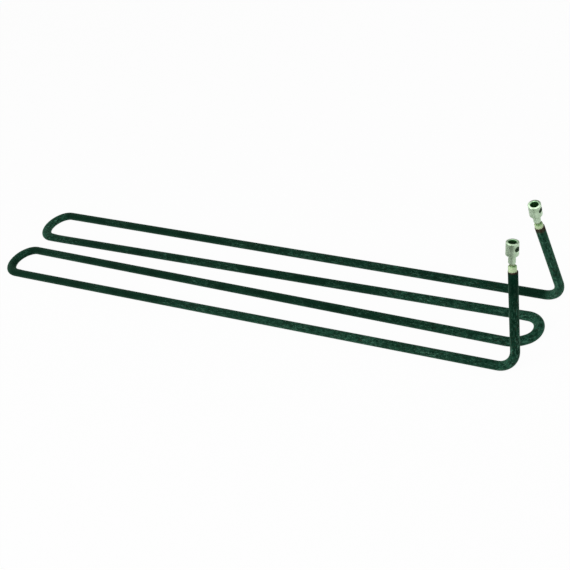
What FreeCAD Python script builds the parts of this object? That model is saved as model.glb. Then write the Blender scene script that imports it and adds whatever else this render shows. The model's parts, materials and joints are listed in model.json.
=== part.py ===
import FreeCAD, Part
import math
import os

# Tubular heating element: one metal-sheathed tube bent to four side-by-side runs, with a leg
# standing up from each outer run and a screw socket for a wire on top of each leg.
# Millimetres. +X runs along the tubes towards the legs, +Y to the rear, +Z up.

# Sheath tube
TUBE_DIA = 8.5
TUBE_WALL = 0.6
MOUTH_BREAK = 0.2

# Four runs, seen from above. The outer runs come together to the right and the inner
# runs open to the right, both by the same small angle.
OUTER_RUN = 624.0
INNER_RUN = 623.0
RUN_TOE_DEG = 0.47
LEFT_BEND_RADIUS = 19.5
MIDDLE_BEND_RADIUS = 17.0

# The front half of the middle bend first turns tighter than the rear half, then opens out
TIGHT_BEND_RADIUS = 13.25
TIGHT_TURN_DEG = 48.0

# Legs: length of the straight part, and how far each leans to the middle and to the right
LEG_BEND_RADIUS = 20.0
FRONT_LEG = 75.0
FRONT_LEAN_IN_DEG = 15.5
FRONT_LEAN_OUT_DEG = 5.5
REAR_LEG = 70.0
REAR_LEAN_IN_DEG = 6.0
REAR_LEAN_OUT_DEG = 2.0

# Terminal pins: each stands a little off the leg's axis in its bead, and the part above the bead
# is knocked further to the same side. Headings are measured from +X towards +Y.
PIN_DIA = 4.0
PIN_IN_TUBE = 62.0
PIN_BEND_RADIUS = 3.0
PIN_END_BREAK = 0.3
PIN_SHIFT = 0.35
SOCKET_SHIFT = 0.7
FRONT_SHIFT_HEADING_DEG = -162.0
REAR_SHIFT_HEADING_DEG = 152.0

# Resistance coil, drawn as the plain sleeve that its turns fill
COIL_WALL = 0.5
COIL_OVERLAP = 8.0

# Ceramic bead with a collar on each tube mouth, and the sealing compound round its shank
BEAD_LENGTH = 9.6
FRONT_BEAD_PROUD = 5.2
REAR_BEAD_PROUD = 3.9
BEAD_COLLAR_DIA = 7.2
BEAD_SHANK_DIA = 6.4
BEAD_CLEARANCE = 0.05
BEAD_EDGE = 0.7
FILLING_DEPTH = 11.0
SEAL_RECESS = 0.3
SEAL_MARGIN = 1.0

# Screw socket, tilted against its leg
PIN_GAP = 2.5
FRONT_SOCKET_TILT_DEG = 4.5
FRONT_TILT_HEADING_DEG = -22.0
REAR_SOCKET_TILT_DEG = 6.7
REAR_TILT_HEADING_DEG = 13.0
NECK_DIA = 6.3
NECK_LENGTH = 7.3
NECK_BREAK = 0.3
PIN_SEAT = 7.0
SHOULDER = 1.0
BARREL_DIA = 11.0
BARREL_LENGTH = 12.3
RIM_ROUND = 0.4
WIRE_BORE_DIA = 6.8
WIRE_BORE_DEPTH = 10.0
DRILL_POINT_DEG = 118.0

# Clamp screw in the side of the socket. Its turn about the socket is measured from +X.
SCREW_DIA = 5.0
SCREW_DROP = 5.1
FRONT_SCREW_TURN_DEG = -12.0
REAR_SCREW_TURN_DEG = -3.0
SCREW_SINK = 0.3
THREAD_CLEARANCE = 0.05
COUNTERSINK = 0.25
SCREW_SLOT_WIDTH = 1.0
SCREW_SLOT_DEPTH = 1.0

# Values worked out from the sizes above
TUBE_RADIUS = TUBE_DIA / 2
BORE_RADIUS = TUBE_RADIUS - TUBE_WALL
PIN_RADIUS = PIN_DIA / 2
COIL_BORE_RADIUS = PIN_RADIUS - COIL_WALL
TOE = math.radians(RUN_TOE_DEG)
FRONT = -1
REAR = 1
UP = FreeCAD.Vector(0, 0, 1)
ACROSS = FreeCAD.Vector(1, 0, 0)

# What differs between the two legs
LEGS = {
    FRONT: {
        "length": FRONT_LEG,
        "lean_in": FRONT_LEAN_IN_DEG,
        "lean_out": FRONT_LEAN_OUT_DEG,
        "shift_heading": FRONT_SHIFT_HEADING_DEG,
        "bead_proud": FRONT_BEAD_PROUD,
        "socket_tilt": FRONT_SOCKET_TILT_DEG,
        "tilt_heading": FRONT_TILT_HEADING_DEG,
        "screw_turn": FRONT_SCREW_TURN_DEG,
    },
    REAR: {
        "length": REAR_LEG,
        "lean_in": REAR_LEAN_IN_DEG,
        "lean_out": REAR_LEAN_OUT_DEG,
        "shift_heading": REAR_SHIFT_HEADING_DEG,
        "bead_proud": REAR_BEAD_PROUD,
        "socket_tilt": REAR_SOCKET_TILT_DEG,
        "tilt_heading": REAR_TILT_HEADING_DEG,
        "screw_turn": REAR_SCREW_TURN_DEG,
    },
}


def plan_point(x, y):
    """A point of the centre line of the runs, which lie on the floor."""
    return FreeCAD.Vector(x, y, TUBE_RADIUS)


def leg_direction(side):
    """Unit vector up the leg. Leaning in is towards the middle, out is towards +X."""
    lean_in = math.radians(LEGS[side]["lean_in"])
    lean_out = math.radians(LEGS[side]["lean_out"])
    return FreeCAD.Vector(math.tan(lean_out), -side * math.tan(lean_in), 1).normalize()


def half_path(side):
    """Points of one half of the tube, from its leg's mouth to the middle bend."""
    meet = plan_point(-MIDDLE_BEND_RADIUS * math.sin(TOE), side * MIDDLE_BEND_RADIUS * math.cos(TOE))
    inner_way = FreeCAD.Vector(math.cos(TOE), side * math.sin(TOE), 0)
    inner_end = meet - inner_way * INNER_RUN
    bend_centre = inner_end + FreeCAD.Vector(-math.sin(TOE), side * math.cos(TOE), 0) * LEFT_BEND_RADIUS
    bend_top = bend_centre - ACROSS * LEFT_BEND_RADIUS
    outer_end = bend_centre + FreeCAD.Vector(math.sin(TOE), side * math.cos(TOE), 0) * LEFT_BEND_RADIUS
    outer_way = FreeCAD.Vector(math.cos(TOE), -side * math.sin(TOE), 0)
    foot = outer_end + outer_way * OUTER_RUN
    leg_way = leg_direction(side)
    turn = outer_way.getAngle(leg_way)
    inward = (leg_way - outer_way * outer_way.dot(leg_way)).normalize()
    leg_centre = foot + inward * LEG_BEND_RADIUS

    def on_leg_bend(angle):
        return leg_centre + (outer_way * math.sin(angle) - inward * math.cos(angle)) * LEG_BEND_RADIUS

    leg_start = on_leg_bend(turn)
    return {
        "mouth": leg_start + leg_way * LEGS[side]["length"],
        "leg_way": leg_way,
        "leg_start": leg_start,
        "leg_bend": on_leg_bend(turn / 2),
        "foot": foot,
        "outer_end": outer_end,
        "bend_top": bend_top,
        "inner_end": inner_end,
        "meet": meet,
    }


HALVES = {REAR: half_path(REAR), FRONT: half_path(FRONT)}


def middle_bend():
    """Points of the middle bend's three arcs, from the rear inner run to the front one."""

    def outward(angle):
        return FreeCAD.Vector(math.cos(angle), -math.sin(angle), 0)

    rear_meet = HALVES[REAR]["meet"]
    front_meet = HALVES[FRONT]["meet"]
    bend_centre = plan_point(0, 0)
    top = bend_centre + outward(0) * MIDDLE_BEND_RADIUS
    tight_turn = math.radians(TIGHT_TURN_DEG)
    tight_centre = top - outward(0) * TIGHT_BEND_RADIUS
    tight_end = tight_centre + outward(tight_turn) * TIGHT_BEND_RADIUS
    tight_way = outward(tight_turn + math.pi / 2)
    run_way = outward(math.pi + TOE)
    open_turn = math.pi / 2 + TOE - tight_turn
    reach = (front_meet - tight_end).cross(run_way).z / tight_way.cross(run_way).z
    open_radius = reach / math.tan(open_turn / 2)
    open_centre = tight_end - outward(tight_turn) * open_radius
    return [
        (rear_meet, bend_centre + outward(-math.pi / 4) * MIDDLE_BEND_RADIUS, top),
        (top, tight_centre + outward(tight_turn / 2) * TIGHT_BEND_RADIUS, tight_end),
        (tight_end, open_centre + outward(tight_turn + open_turn / 2) * open_radius,
         tight_end + (tight_way + run_way) * reach),
    ]


def tube_path(inset):
    """Centre line of the tube as one wire, starting and ending inset below the mouths."""
    rear = HALVES[REAR]
    front = HALVES[FRONT]
    rear_start = rear["mouth"] - rear["leg_way"] * inset
    front_start = front["mouth"] - front["leg_way"] * inset
    middle_arcs = middle_bend()
    curves = [
        Part.LineSegment(rear_start, rear["leg_start"]),
        Part.Arc(rear["leg_start"], rear["leg_bend"], rear["foot"]),
        Part.LineSegment(rear["foot"], rear["outer_end"]),
        Part.Arc(rear["outer_end"], rear["bend_top"], rear["inner_end"]),
        Part.LineSegment(rear["inner_end"], rear["meet"]),
        *(Part.Arc(*points) for points in middle_arcs),
        Part.LineSegment(middle_arcs[-1][-1], front["inner_end"]),
        Part.Arc(front["inner_end"], front["bend_top"], front["outer_end"]),
        Part.LineSegment(front["outer_end"], front["foot"]),
        Part.Arc(front["foot"], front["leg_bend"], front["leg_start"]),
        Part.LineSegment(front["leg_start"], front_start),
    ]
    return Part.Wire([curve.toShape() for curve in curves])


def rod_along(path, radius):
    """Solid rod of the given radius along a wire of lines and arcs."""
    start = path.OrderedEdges[0].firstVertex(True).Point
    way = path.OrderedVertexes[1].Point - start
    ring = Part.Wire([Part.makeCircle(radius, start, way)])
    return path.makePipeShell([ring], True, False)


def sleeve_along(path, outer_radius, inner_radius):
    """Hollow rod along a wire."""
    return rod_along(path, outer_radius).cut(rod_along(path, inner_radius))


def turned(profile):
    """Solid turned about the Z axis from (radius, height) points."""
    points = [FreeCAD.Vector(radius, 0, height) for radius, height in profile]
    outline = Part.makePolygon(points + points[:1])
    return Part.Face(outline).revolve(FreeCAD.Vector(), UP, 360)


def edges_at(shape, radius, height):
    """Circular edges about the Z axis with this radius at this height."""
    found = []
    for edge in shape.Edges:
        curve = edge.Curve
        if curve.TypeId != "Part::GeomCircle":
            continue
        if abs(curve.Radius - radius) < 1e-4 and abs(curve.Center.z - height) < 1e-4:
            found.append(edge)
    return found


def placed_on(shape, base, axis, spin_deg=0):
    """The shape with its own Z laid on the axis and its own X turned from +X by the spin."""
    across = ACROSS - axis * ACROSS.dot(axis)
    turn = FreeCAD.Rotation(across, FreeCAD.Vector(), axis, "ZXY")
    moved = shape.copy()
    moved.Placement = FreeCAD.Placement(base, turn.multiply(FreeCAD.Rotation(UP, spin_deg)))
    return moved


def rounded_route(points, radius):
    """Wire of straight stretches between the points, with a tangent arc at each inner one."""
    curves = []
    start = points[0]
    for before, corner, after in zip(points, points[1:], points[2:]):
        arriving = (corner - before).normalize()
        leaving = (after - corner).normalize()
        turn = arriving.getAngle(leaving)
        reach = radius * math.tan(turn / 2)
        inside = (leaving - arriving).normalize()
        arc_start = corner - arriving * reach
        arc_middle = corner + inside * radius * (1 / math.cos(turn / 2) - 1)
        arc_end = corner + leaving * reach
        curves += [Part.LineSegment(start, arc_start), Part.Arc(arc_start, arc_middle, arc_end)]
        start = arc_end
    curves.append(Part.LineSegment(start, points[-1]))
    return Part.Wire([curve.toShape() for curve in curves])


def sideways(side, heading_deg):
    """Unit vector square to a leg, on the side of it that the heading points to."""
    heading = math.radians(heading_deg)
    level = FreeCAD.Vector(math.cos(heading), math.sin(heading), 0)
    way = HALVES[side]["leg_way"]
    return (level - way * way.dot(level)).normalize()


def above_mouth(side, height, shift=0):
    """Point this high above the mouth of a leg, shifted to the side that its pin stands to."""
    half = HALVES[side]
    return half["mouth"] + half["leg_way"] * height + sideways(side, LEGS[side]["shift_heading"]) * shift


def socket_way(side):
    """Direction of the socket's axis."""
    tilt = math.radians(LEGS[side]["socket_tilt"])
    over = sideways(side, LEGS[side]["tilt_heading"])
    return HALVES[side]["leg_way"] * math.cos(tilt) + over * math.sin(tilt)


def socket_base(side):
    """Middle of the bottom of the socket's neck."""
    return above_mouth(side, LEGS[side]["bead_proud"] + PIN_GAP, SOCKET_SHIFT)


def bead_inside(side):
    """Length of the bead's shank, which is inside the tube."""
    return BEAD_LENGTH - LEGS[side]["bead_proud"]


def on_leg(shape, side):
    """The shape placed with its zero height at the mouth of the leg."""
    return placed_on(shape, above_mouth(side, 0), HALVES[side]["leg_way"])


def on_bead_axis(shape, side):
    """The shape placed at the mouth of the leg, but on the axis of the bead."""
    return placed_on(shape, above_mouth(side, 0, PIN_SHIFT), HALVES[side]["leg_way"])


def sheath_tube():
    """The bent tube, open at both mouths, with its sharp outer edges broken."""
    tube = sleeve_along(tube_path(0), TUBE_RADIUS, BORE_RADIUS)
    mouths = []
    for half in HALVES.values():
        for edge in tube.Edges:
            curve = edge.Curve
            round_edge = curve.TypeId == "Part::GeomCircle" and abs(curve.Radius - TUBE_RADIUS) < 1e-4
            if round_edge and (curve.Center - half["mouth"]).Length < 1e-3:
                mouths.append(edge)
    return tube.makeChamfer(MOUTH_BREAK, mouths)


def magnesia_filling():
    """Pressed powder: a sleeve round the pins and the coil, and a core inside the coil."""
    around = sleeve_along(tube_path(FILLING_DEPTH), BORE_RADIUS, PIN_RADIUS)
    core = rod_along(tube_path(PIN_IN_TUBE), COIL_BORE_RADIUS)
    return Part.Compound([around, core])


def resistance_coil():
    """Sleeve over the spigots of both pins."""
    return sleeve_along(tube_path(PIN_IN_TUBE - COIL_OVERLAP), PIN_RADIUS, COIL_BORE_RADIUS)


def terminal_pin(side):
    """Pin with a spigot for the coil: straight in the filling, aside in the seal, over to the socket."""
    base = socket_base(side)
    top = base + socket_way(side) * PIN_SEAT
    ease = PIN_GAP / 4
    path = rounded_route([
        above_mouth(side, COIL_OVERLAP - PIN_IN_TUBE),
        above_mouth(side, SEAL_MARGIN - FILLING_DEPTH),
        above_mouth(side, -bead_inside(side) - SEAL_MARGIN, PIN_SHIFT),
        above_mouth(side, LEGS[side]["bead_proud"] + ease, PIN_SHIFT),
        base - socket_way(side) * ease,
        top,
    ], PIN_BEND_RADIUS)
    shank = rod_along(path, PIN_RADIUS)
    spigot_start = above_mouth(side, -PIN_IN_TUBE)
    spigot = Part.makeCylinder(COIL_BORE_RADIUS, COIL_OVERLAP, spigot_start, HALVES[side]["leg_way"])
    pin = shank.fuse(spigot)
    rim = []
    for edge in pin.Edges:
        if edge.Curve.TypeId == "Part::GeomCircle" and (edge.Curve.Center - top).Length < 1e-3:
            rim.append(edge)
    return pin.makeChamfer(PIN_END_BREAK, rim)


def end_seal(side):
    """Sealing compound between the filling and the bead and round the bead's shank."""
    filled = Part.makeCylinder(BORE_RADIUS, FILLING_DEPTH - SEAL_RECESS, UP * -FILLING_DEPTH)
    shank = Part.makeCylinder(BEAD_SHANK_DIA / 2, bead_inside(side), UP * -bead_inside(side))
    return on_leg(filled, side).cut(on_bead_axis(shank, side)).cut(terminal_pin(side))


def insulator_bead(side):
    """Ceramic bead with a shank in the tube and a collar on its mouth, rounded on top."""
    collar = BEAD_COLLAR_DIA / 2
    shank = BEAD_SHANK_DIA / 2
    inner = PIN_RADIUS + BEAD_CLEARANCE
    low = -bead_inside(side)
    high = LEGS[side]["bead_proud"]
    bead = turned([(inner, low), (shank, low), (shank, 0), (collar, 0), (collar, high), (inner, high)])
    return on_bead_axis(bead.makeFillet(BEAD_EDGE, edges_at(bead, collar, high)), side)


def barrel_top():
    """Height of the socket's rim above the bottom of its neck."""
    return NECK_LENGTH + BARREL_LENGTH


def connector_socket():
    """Turned socket: neck brazed on the pin, barrel with a blind wire bore and a tapped hole."""
    neck = NECK_DIA / 2
    barrel = BARREL_DIA / 2
    bore = WIRE_BORE_DIA / 2
    top = barrel_top()
    floor = top - WIRE_BORE_DEPTH
    point = floor - bore / math.tan(math.radians(DRILL_POINT_DEG / 2))
    outside = turned([
        (0, 0),
        (neck - NECK_BREAK, 0),
        (neck, NECK_BREAK),
        (neck, NECK_LENGTH),
        (barrel - SHOULDER / 3, NECK_LENGTH + SHOULDER / 2),
        (barrel, NECK_LENGTH + SHOULDER),
        (barrel, top),
        (0, top),
    ])
    outside = outside.makeFillet(RIM_ROUND, edges_at(outside, barrel, top))
    wire_bore = turned([(0, point), (bore, floor), (bore, top + RIM_ROUND), (0, top + RIM_ROUND)])
    pin_hole = Part.makeCylinder(PIN_RADIUS, PIN_SEAT)
    body = outside.cut(wire_bore).cut(pin_hole)
    body = body.makeChamfer(RIM_ROUND, edges_at(body, bore, top))
    hole = SCREW_DIA / 2
    height = top - SCREW_DROP
    tapped = Part.makeCylinder(hole, BARREL_DIA, FreeCAD.Vector(0, 0, height), ACROSS)
    sink = Part.makeCone(hole, hole + 2 * COUNTERSINK, 2 * COUNTERSINK,
                         FreeCAD.Vector(barrel - COUNTERSINK, 0, height), ACROSS)
    return body.cut(tapped).cut(sink)


def set_screw():
    """Slotted clamp screw, backed out until its end is level with the wall of the wire bore."""
    radius = SCREW_DIA / 2 - THREAD_CLEARANCE
    inner = WIRE_BORE_DIA / 2
    outer = BARREL_DIA / 2 - SCREW_SINK
    height = barrel_top() - SCREW_DROP
    screw = Part.makeCylinder(radius, outer - inner, FreeCAD.Vector(inner, 0, height), ACROSS)
    corner = FreeCAD.Vector(outer - SCREW_SLOT_DEPTH, -SCREW_DIA / 2, height - SCREW_SLOT_WIDTH / 2)
    slot = Part.makeBox(SCREW_SLOT_DEPTH, SCREW_DIA, SCREW_SLOT_WIDTH, corner)
    return screw.cut(slot)


def on_socket(shape, side):
    """The shape placed with its zero height at the bottom of the socket's neck."""
    return placed_on(shape, socket_base(side), socket_way(side), LEGS[side]["screw_turn"])


def all_pieces():
    """Every piece by its name, before the origin is moved."""
    pieces = {
        "sheath_tube": sheath_tube(),
        "magnesia_filling": magnesia_filling(),
        "resistance_coil": resistance_coil(),
    }
    for name, side in (("front", FRONT), ("rear", REAR)):
        pieces[name + "_terminal_pin"] = terminal_pin(side)
        pieces[name + "_end_seal"] = end_seal(side)
        pieces[name + "_insulator_bead"] = insulator_bead(side)
        pieces[name + "_connector_socket"] = on_socket(connector_socket(), side)
        pieces[name + "_set_screw"] = on_socket(set_screw(), side)
    return pieces


def origin_shift(pieces):
    """Move that puts the origin under the middle of the whole element, on the floor."""
    box = Part.Compound(list(pieces.values())).optimalBoundingBox(False, False)
    return FreeCAD.Vector(-(box.XMin + box.XMax) / 2, -(box.YMin + box.YMax) / 2, 0)


def main():
    os.makedirs("parts", exist_ok=True)
    pieces = all_pieces()
    shift = origin_shift(pieces)
    for name, shape in pieces.items():
        shape.translate(shift)
        shape.exportStep("parts/" + name + ".step")
        print(name, "valid", shape.isValid(), "solids", len(shape.Solids), "volume", round(shape.Volume, 2))
    for name, side in (("front", FRONT), ("rear", REAR)):
        rim = socket_base(side) + socket_way(side) * barrel_top() + shift
        middle = HALVES[side]["leg_start"] + HALVES[side]["leg_way"] * (LEGS[side]["length"] / 2) + shift
        print(name, "socket rim", rim, "axis", socket_way(side))
        print(name, "tube mouth", above_mouth(side, 0) + shift, "middle of leg", middle)


main()
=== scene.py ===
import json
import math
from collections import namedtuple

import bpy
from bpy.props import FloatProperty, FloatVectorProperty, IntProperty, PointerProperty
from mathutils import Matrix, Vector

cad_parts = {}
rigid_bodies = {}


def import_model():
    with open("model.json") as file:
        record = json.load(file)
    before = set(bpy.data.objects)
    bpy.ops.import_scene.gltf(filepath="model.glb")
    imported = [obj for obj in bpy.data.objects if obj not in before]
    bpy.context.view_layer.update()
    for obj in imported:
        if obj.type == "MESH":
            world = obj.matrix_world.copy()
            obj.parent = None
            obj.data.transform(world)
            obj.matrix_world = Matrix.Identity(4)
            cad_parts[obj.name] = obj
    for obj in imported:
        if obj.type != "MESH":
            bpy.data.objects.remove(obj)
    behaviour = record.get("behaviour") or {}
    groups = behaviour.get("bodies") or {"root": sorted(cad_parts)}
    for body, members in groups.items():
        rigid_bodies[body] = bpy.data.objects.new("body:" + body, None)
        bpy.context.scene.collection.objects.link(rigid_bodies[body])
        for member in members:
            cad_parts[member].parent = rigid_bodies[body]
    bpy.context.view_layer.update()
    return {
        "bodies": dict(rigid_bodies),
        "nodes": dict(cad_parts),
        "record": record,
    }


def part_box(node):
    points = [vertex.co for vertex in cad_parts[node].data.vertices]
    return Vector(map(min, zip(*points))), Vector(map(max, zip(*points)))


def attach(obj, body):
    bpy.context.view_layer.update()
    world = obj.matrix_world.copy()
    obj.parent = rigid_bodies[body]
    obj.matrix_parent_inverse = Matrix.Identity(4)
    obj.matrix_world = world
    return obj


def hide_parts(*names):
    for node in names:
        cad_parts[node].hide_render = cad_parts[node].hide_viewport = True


bl_info = {
    "name": "Tubular heating element",
    "version": (1, 0, 0),
    "blender": (4, 5, 0),
    "location": "3D View > Sidebar > Heating element",
    "description": "Sheathed heating element with four runs, two legs and screw sockets",
    "category": "Object",
}

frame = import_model()

BODY = "root"
FRONT = -1
REAR = 1
SIDES = (("front", FRONT), ("rear", REAR))
UP = Vector((0, 0, 1))
ACROSS = Vector((1, 0, 0))
TO_FRONT = Vector((0, -1, 0))
RIGHT_ANGLE = math.pi / 2
MM = 0.001

# Camera: sensor width in millimetres, and the nearest and farthest distance it sees
SENSOR_WIDTH = 36.0
CLIP_START = 0.01
CLIP_END = 50.0

# Each stretch of the tube from the rear mouth on: how pale its oxide is, and by what share the tube is
# pressed wider, both at its start, middle and end. The share is below zero where the tube bends right.
ROUND = (0.0, 0.0, 0.0)
STRETCH_LOOKS = (
    ((0.5, 0.6, 0.6), ROUND),                # rear leg
    ((0.6, 0.7, 0.0), ROUND),                # rear leg bend
    ((0.0, 0.0, -0.6), ROUND),               # rear outer run
    ((-0.5, 0.8, 0.1), (0.0, 0.33, 0.15)),   # rear left bend
    ((0.0, -0.1, 0.5), ROUND),               # rear inner run
    ((0.5, 1.0, 0.1), (-0.1, -0.12, 0.0)),   # middle bend
    ((0.3, -0.2, -0.4), ROUND),              # front inner run
    ((-0.4, 0.2, -1.1), (0.0, 0.33, 0.08)),  # front left bend
    ((-0.9, 0.2, 0.2), ROUND),               # front outer run
    ((0.2, 0.6, 0.1), ROUND),                # front leg bend
    ((0.1, -0.1, -0.2), ROUND),              # front leg
)

# Squeezed compound: points round a bead, its mean swell, and waves in it as (waves round, lag, height)
SQUEEZE_POINTS = 96
SQUEEZE_MEAN = 0.5
SQUEEZE_WAVES = ((3, 1, 0.25), (7, 2, 0.15), (13, 0, 0.1))

# Shared effects: how much finer the clouds' grain is, the grain over which a surface roughens, the noise
# that specks and streaks need at no cover and past which they are full, and the turning rings' swing
FINER = 9.0
GRAIN_BAND = (0.3, 0.7)
SPECK_LEVEL, SPECK_FADE = 0.72, 0.08
STREAK_LEVEL, STREAK_FADE = 0.75, 0.2
RING_SWING = 0.2

# Bands of direction, from -1 to 1, over which the reflected surroundings change
HORIZON_BAND = (0.0, 0.3)
WALL_SIDE_BAND = (0.3, 0.6)
WALL_TOP_BAND = (0.6, 0.8)
BOX_SIDE_BAND = (0.55, 0.7)
BOX_LOW_BAND = (0.3, 0.5)

# Soft boxes: name, place and size in metres, and the setting with the power. All point at LIT_POINT.
LIT_POINT = Vector((0, 0, 0.03))
SOFT_BOXES = (
    ("left_soft_box", Vector((-0.5, -1.5, 0.85)), 1.4, "left_level"),
    ("right_soft_box", Vector((1.7, 0.5, 0.6)), 1.0, "right_level"),
    ("top_soft_box", Vector((0.9, -0.75, 1.9)), 1.2, "top_level"),
)

Spot = namedtuple("Spot", "point pale pressed")
Ring = namedtuple("Ring", "centre way aside travelled")


def srgb(red, green, blue):
    """Linear colour of an 8-bit screen colour."""
    def linear(channel):
        level = channel / 255
        return level / 12.92 if level <= 0.04045 else ((level + 0.055) / 1.055) ** 2.4
    return (linear(red), linear(green), linear(blue))


def length(name, description, default):
    return FloatProperty(name=name, description=description, default=default,
                         min=0, unit="LENGTH", precision=5)


def angle(name, description, degrees):
    return FloatProperty(name=name, description=description, default=math.radians(degrees),
                         unit="ROTATION")


def colour(name, description, default):
    return FloatVectorProperty(name=name, description=description, default=default, subtype="COLOR",
                               size=3, min=0, max=1)


def position(name, description, default):
    return FloatProperty(name=name, description=description, default=default,
                         unit="LENGTH", precision=5)


def power(name, description, default):
    return FloatProperty(name=name, description=description, default=default, min=0, unit="POWER")


def share(name, description, default):
    return FloatProperty(name=name, description=description, default=default,
                         min=0, max=1, subtype="FACTOR")


class HeaterSizes(bpy.types.PropertyGroup):
    tube_diameter: length("Tube diameter", "Outer diameter of the sheath tube", 8.5 * MM)
    tube_wall: length("Tube wall", "Wall of the sheath tube", 0.6 * MM)
    lip: length("Mouth edge", "Rounding of the outer edge of each mouth", 0.2 * MM)
    outer_run: length("Outer run", "Straight length of the two outer runs", 624 * MM)
    inner_run: length("Inner run", "Straight length of the two inner runs", 623 * MM)
    run_toe: angle("Run toe", "Angle of each run to the middle plane", 0.47)
    left_bend: length("Left bend radius", "Centre line radius of the two hairpin bends", 19.5 * MM)
    middle_bend: length("Middle bend radius", "Centre line radius of the middle bend", 17 * MM)
    tight_bend: length("Tight bend radius", "Radius of the tighter part of the middle bend", 13.25 * MM)
    tight_turn: angle("Tight turn", "Turn of the tighter part of the middle bend", 48)
    leg_bend: length("Leg bend radius", "Centre line radius of the leg bends", 20 * MM)
    middle_inward: share("Middle bend share", "Share of the middle bend's pressing on its inside", 0.7)
    press_drop: share("Press drop", "How much flatter a bend is for how much wider it is pressed", 0.15)
    press_run: length("Press run", "Length over which the tube is round again past a bend", 15 * MM)
    front_leg: length("Front leg", "Straight length of the front leg", 75 * MM)
    front_lean_in: angle("Front lean in", "Lean of the front leg to the middle", 15.5)
    front_lean_out: angle("Front lean out", "Lean of the front leg to the right", 5.5)
    rear_leg: length("Rear leg", "Straight length of the rear leg", 70 * MM)
    rear_lean_in: angle("Rear lean in", "Lean of the rear leg to the middle", 6)
    rear_lean_out: angle("Rear lean out", "Lean of the rear leg to the right", 2)
    front_scorch: length("Front scorch", "How far down the front leg its heated end shows", 1.0 * MM)
    rear_scorch: length("Rear scorch", "How far down the rear leg its heated end shows", 4.5 * MM)
    barrel: length("Barrel", "Diameter of the sockets' barrels", 11 * MM)
    wire_bore: length("Wire bore", "Diameter of the sockets' wire bores", 6.8 * MM)
    bore_bottom: position("Bore bottom", "Tip of a wire bore, from its middle up", -7.1 * MM)
    rim_rise: length("Rim rise", "How much the rim of a socket looks crowned", 0.6 * MM)
    rim_fade: length("Rim fade", "Depth below a bore's middle where the crowning ends", 7 * MM)
    collar: length("Bead collar", "Diameter of the beads' collars", 7.2 * MM)
    front_bead_proud: length("Front bead height", "How far the front bead stands out", 5.2 * MM)
    rear_bead_proud: length("Rear bead height", "How far the rear bead stands out", 3.9 * MM)
    bead_shift: length("Bead shift", "How far each bead stands off its leg's axis", 0.35 * MM)
    front_shift_heading: angle("Front shift heading", "Side the front bead stands to, from +X", -162)
    rear_shift_heading: angle("Rear shift heading", "Side the rear bead stands to, from +X", 152)
    around: IntProperty(name="Points around", description="Points around the tube", default=48, min=8)
    run_step: length("Run step", "Distance between rings of points on a straight stretch", 12 * MM)
    bend_step: angle("Bend step", "Turn between rings of points on a bend", 3)


class HeaterFinish(bpy.types.PropertyGroup):
    oxide_dark: colour("Dark oxide", "Darkest green of the sheath", srgb(2, 30, 18))
    oxide_light: colour("Light oxide", "Lighter clouds of the sheath", srgb(6, 40, 26))
    # Paler green, laid on each stretch as much as STRETCH_LOOKS gives, and on mottling and streaks.
    oxide_pale: colour("Pale oxide", "Paler green where the tube was handled", srgb(34, 78, 60))
    oxide_worn: colour("Worn oxide", "Palest dashes and specks", srgb(84, 132, 110))
    # Painted highlight: pale colour laid on the tube where it turns away from the view, standing in for
    # a rim of reflected light.
    painted_rim_highlight: colour("Oxide sheen", "Pale sheen where the tube turns away", srgb(96, 146, 118))
    oxide_rust: colour("Rusty oxide", "Brown specks in the green", srgb(44, 38, 26))
    oxide_burnt: colour("Burnt oxide", "Brown of the heated tube ends", srgb(54, 38, 30))
    plating: colour("Plating", "Satin plating of the sockets", srgb(188, 212, 182))
    plating_dull: colour("Dull plating", "Dulled patches of the plating", srgb(120, 146, 112))
    # Dark green inside the wire bores; out over the edge of each bore it is painted shade that takes
    # away the edge's highlight.
    bore_dark_and_shade: colour("Bore oxide", "Dark unplated inside of the wire bores", srgb(77, 128, 80))
    ceramic: colour("Ceramic", "Cream ceramic of the beads", srgb(190, 214, 168))
    # Painted shadow: darker green on one side of each bead's top face, where the socket above shades it.
    ceramic_painted_shadow: colour("Ceramic top", "Darkened side of the beads' top faces", srgb(134, 172, 116))
    # Side of the beads' top faces that gets the painted shadow.
    painted_shadow_heading: angle("Darkened side", "Side of the beads' top faces that is darkened, from +X", 35)
    ceramic_stain: colour("Ceramic stain", "Stain in the pores of the beads", srgb(146, 178, 122))
    pin_steel: colour("Pin steel", "Steel of the terminal pins", srgb(138, 160, 118))
    compound: colour("Compound", "Sealing compound in the mouths", srgb(74, 34, 26))
    screw_black: colour("Screw oxide", "Black oxide of the clamp screws", srgb(6, 44, 10))
    powder: colour("Powder", "Pressed insulating powder", srgb(236, 235, 228))
    powder_shade: colour("Powder shade", "Darker clouds of the powder", srgb(214, 212, 200))
    wire: colour("Wire", "Resistance wire", srgb(170, 165, 158))
    # Painted shade: the dark colour in the gaps between the wire's turns.
    wire_gap_painted_shade: colour("Wire shade", "Gaps between the wire's turns", srgb(60, 56, 54))
    # Share of the painted rim highlight on the tube.
    sheen: share("Sheen", "How strong the pale sheen of the oxide is", 0.5)
    scorch: share("Scorch", "How strong the brown of the heated tube ends is", 0.75)


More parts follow.
